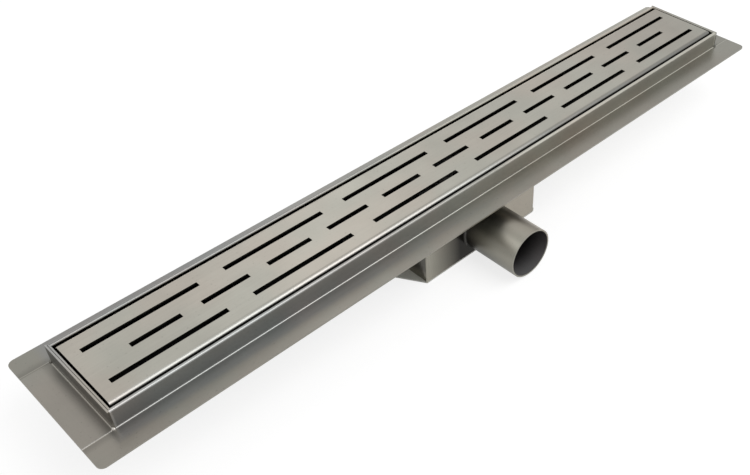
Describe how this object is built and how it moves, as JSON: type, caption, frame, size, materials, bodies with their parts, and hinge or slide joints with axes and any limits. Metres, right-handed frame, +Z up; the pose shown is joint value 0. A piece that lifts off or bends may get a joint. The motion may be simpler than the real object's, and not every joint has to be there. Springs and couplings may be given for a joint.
{
  "type": "linear shower drain",
  "caption": "Long stainless channel drain with a flat sealing flange, a lift-off slotted grate, a box trap with a lift-out siphon insert, and a side outlet spigot.",
  "frame": {"origin": "centre of the trap's underside, straight below the trap's inlet", "axes": "+X along the channel, the outlet leaves towards -Y, +Z up through the grate"},
  "size_m": [0.646, 0.1371, 0.068],
  "materials": {
    "channel_steel": "brushed",
    "grate_steel": "satin",
    "trap_steel": "brushed",
    "pipe_steel": "brushed",
    "strainer_steel": "satin",
    "weld_metal": "satin",
    "siphon_plastic": "matte",
    "seal_rubber": "matte"
  },
  "bodies": {
    "root": {"channel_body": "channel_steel", "end_wall_left": "channel_steel", "end_wall_right": "channel_steel", "end_curb_left": "channel_steel", "end_curb_right": "channel_steel", "flange_welds": "weld_metal", "trap_wall": "trap_steel", "trap_corner_weld": "weld_metal", "trap_base": "trap_steel", "outlet_pipe": "pipe_steel", "outlet_weld": "weld_metal", "siphon_body": "siphon_plastic", "siphon_cup": "siphon_plastic", "siphon_seal": "seal_rubber", "hair_strainer": "strainer_steel", "strainer_handle": "strainer_steel", "grate_panel": "grate_steel", "grate_end_left": "grate_steel", "grate_end_right": "grate_steel", "grate_feet": "grate_steel"}
  },
  "joints": []
}
